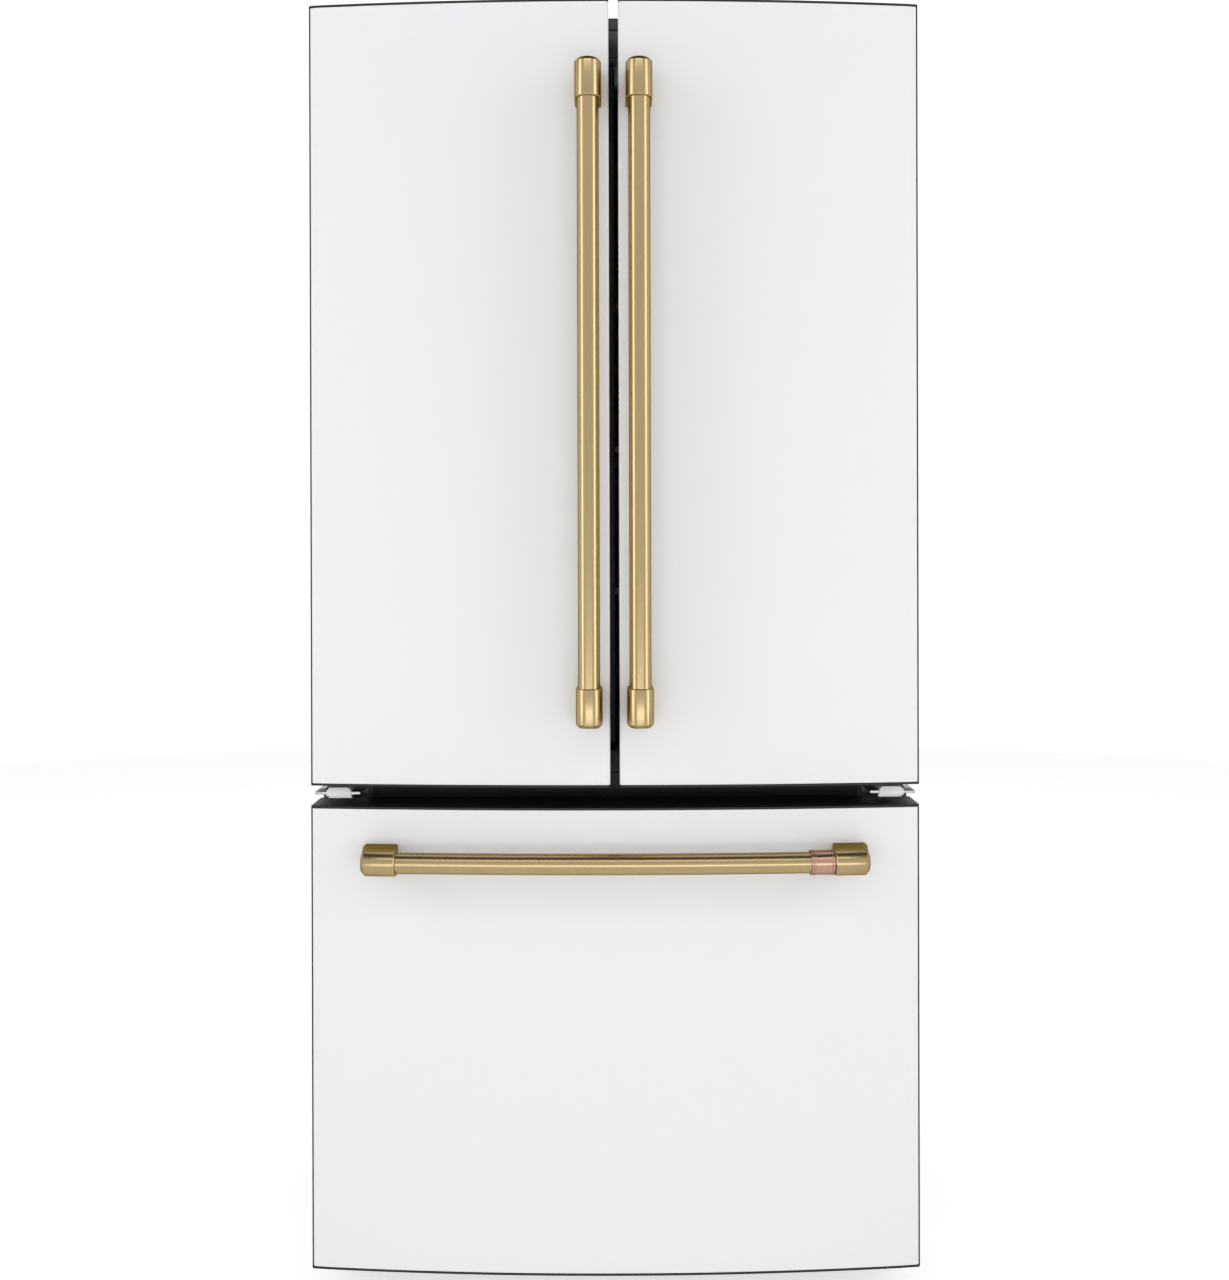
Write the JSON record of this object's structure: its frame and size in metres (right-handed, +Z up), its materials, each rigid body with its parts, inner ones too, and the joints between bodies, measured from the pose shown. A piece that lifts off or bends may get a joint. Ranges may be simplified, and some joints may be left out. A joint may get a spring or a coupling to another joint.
{
  "type": "french door refrigerator",
  "caption": "Freestanding refrigerator with paired upper doors and a bottom freezer drawer, crowned white fronts, brass bar handles and opening interior.",
  "frame": {"origin": "under the middle of the outer box, at the floor", "axes": "+Z up, the doors face -Y, +X to the right of someone facing the doors"},
  "size_m": [0.832, 0.79, 1.778],
  "materials": {
    "white_steel": "matte white powder-like paint over steel",
    "white_plastic": "smooth white thermoformed plastic",
    "slate_steel": "slate grey paint over steel, fine texture",
    "dark_plastic": "dark grey moulded plastic",
    "black_rubber": "black rubber",
    "grey_rubber": "grey soft door seal",
    "brushed_brass": "brushed brass, satin",
    "copper": "satin copper, finely ribbed",
    "zinc_steel": "zinc plated steel",
    "black_steel": "black painted steel",
    "clear_plastic": "clear moulded plastic",
    "shelf_glass": "tempered glass with a slim white edge",
    "foam": "blown insulation foam, not seen"
  },
  "bodies": {
    "cabinet": {"outer_case": "slate_steel", "rear_panel": "slate_steel", "cabinet_foam": "foam", "fresh_food_liner": "white_plastic", "freezer_liner": "white_plastic", "machine_cover": "black_steel", "base_frame": "zinc_steel", "toe_grille": "dark_plastic", "top_hinge_left": "zinc_steel", "top_hinge_right": "zinc_steel", "hinge_cover_left": "dark_plastic", "hinge_cover_right": "dark_plastic", "center_hinge_left": "zinc_steel", "center_hinge_right": "zinc_steel", "shelf_upper": "shelf_glass", "shelf_lower": "shelf_glass", "crisper_shelf": "shelf_glass", "control_panel": "white_plastic", "compressor": "black_steel", "drawer_rail_left": "zinc_steel", "drawer_rail_right": "zinc_steel"},
    "left_door": {"left_door_panel": "white_steel", "left_door_frame": "dark_plastic", "left_door_liner": "white_plastic", "left_door_gasket": "grey_rubber", "left_handle_bar": "brushed_brass", "left_handle_top_mount": "brushed_brass", "left_handle_bottom_mount": "brushed_brass", "left_lower_bin": "clear_plastic", "left_upper_bin": "clear_plastic"},
    "right_door": {"right_door_panel": "white_steel", "right_door_frame": "dark_plastic", "right_door_liner": "white_plastic", "right_door_gasket": "grey_rubber", "right_handle_bar": "brushed_brass", "right_handle_top_mount": "brushed_brass", "right_handle_bottom_mount": "brushed_brass", "right_lower_bin": "clear_plastic", "right_upper_bin": "clear_plastic"},
    "mullion_flap": {"mullion_flap": "dark_plastic"},
    "dairy_lid": {"dairy_lid": "clear_plastic"},
    "freezer_drawer": {"drawer_panel": "white_steel", "drawer_frame": "dark_plastic", "drawer_gasket": "grey_rubber", "drawer_handle_bar": "brushed_brass", "drawer_handle_left_mount": "brushed_brass", "drawer_handle_right_mount": "brushed_brass", "drawer_handle_ring": "copper", "drawer_bin": "white_plastic"},
    "drawer_tray": {"drawer_tray": "clear_plastic"},
    "slide_left": {"drawer_slide_left": "zinc_steel"},
    "slide_right": {"drawer_slide_right": "zinc_steel"},
    "crisper_left": {"crisper_left": "clear_plastic"},
    "crisper_right": {"crisper_right": "clear_plastic"},
    "fridge_button": {"fridge_button": "dark_plastic"},
    "leg_left": {"levelling_leg_left": "black_rubber"},
    "leg_right": {"levelling_leg_right": "black_rubber"},
    "roller_left": {"rear_roller_left": "black_rubber"},
    "roller_right": {"rear_roller_right": "black_rubber"},
    "condenser_fan": {"condenser_fan": "dark_plastic"}
  },
  "joints": [
    {"name": "left_door_hinge", "type": "hinge", "parent": "cabinet", "child": "left_door", "pos_m": [-0.402, -0.26, 1.2], "axis": [0, 0, -1], "range_deg": [0, 130]},
    {"name": "right_door_hinge", "type": "hinge", "parent": "cabinet", "child": "right_door", "pos_m": [0.402, -0.26, 1.2], "axis": [0, 0, 1], "range_deg": [0, 130]},
    {"name": "mullion_flap_hinge", "type": "hinge", "parent": "left_door", "child": "mullion_flap", "pos_m": [-0.036, -0.2165, 1.2], "axis": [0, 0, 1], "range_deg": [0, 90]},
    {"name": "dairy_lid_hinge", "type": "hinge", "parent": "right_door", "child": "dairy_lid", "pos_m": [0.2, -0.2437, 1.41341], "axis": [1, 0, 0], "range_deg": [0, 75]},
    {"name": "freezer_drawer_slide", "type": "slide", "parent": "cabinet", "child": "freezer_drawer", "axis": [0, -1, 0], "range_m": [0, 0.42]},
    {"name": "left_rail_slide", "type": "slide", "parent": "cabinet", "child": "slide_left", "axis": [0, -1, 0], "range_m": [0, 0.21]},
    {"name": "right_rail_slide", "type": "slide", "parent": "cabinet", "child": "slide_right", "axis": [0, -1, 0], "range_m": [0, 0.21]},
    {"name": "drawer_tray_slide", "type": "slide", "parent": "freezer_drawer", "child": "drawer_tray", "axis": [0, 1, 0], "range_m": [0, 0.12]},
    {"name": "left_crisper_slide", "type": "slide", "parent": "cabinet", "child": "crisper_left", "axis": [0, -1, 0], "range_m": [0, 0.06]},
    {"name": "right_crisper_slide", "type": "slide", "parent": "cabinet", "child": "crisper_right", "axis": [0, -1, 0], "range_m": [0, 0.06]},
    {"name": "button_press", "type": "slide", "parent": "cabinet", "child": "fridge_button", "axis": [0, 0, 1], "range_m": [0, 0.0015]},
    {"name": "left_leg_turn", "type": "hinge", "parent": "cabinet", "child": "leg_left", "pos_m": [-0.35, -0.18, 0], "axis": [0, 0, 1], "continuous": true},
    {"name": "right_leg_turn", "type": "hinge", "parent": "cabinet", "child": "leg_right", "pos_m": [0.35, -0.18, 0], "axis": [0, 0, 1], "continuous": true},
    {"name": "left_roller_spin", "type": "hinge", "parent": "cabinet", "child": "roller_left", "pos_m": [-0.35, 0.33, 0.019], "axis": [1, 0, 0], "continuous": true},
    {"name": "right_roller_spin", "type": "hinge", "parent": "cabinet", "child": "roller_right", "pos_m": [0.35, 0.33, 0.019], "axis": [1, 0, 0], "continuous": true},
    {"name": "condenser_fan_spin", "type": "hinge", "parent": "cabinet", "child": "condenser_fan", "pos_m": [-0.05, 0.31, 0.1515], "axis": [1, 0, 0], "continuous": true}
  ],
  "couplings": [
    {"joint": "mullion_flap_hinge", "follows": "left_door_hinge", "ratio": 0.6923},
    {"joint": "left_rail_slide", "follows": "freezer_drawer_slide", "ratio": 0.5},
    {"joint": "right_rail_slide", "follows": "freezer_drawer_slide", "ratio": 0.5}
  ]
}
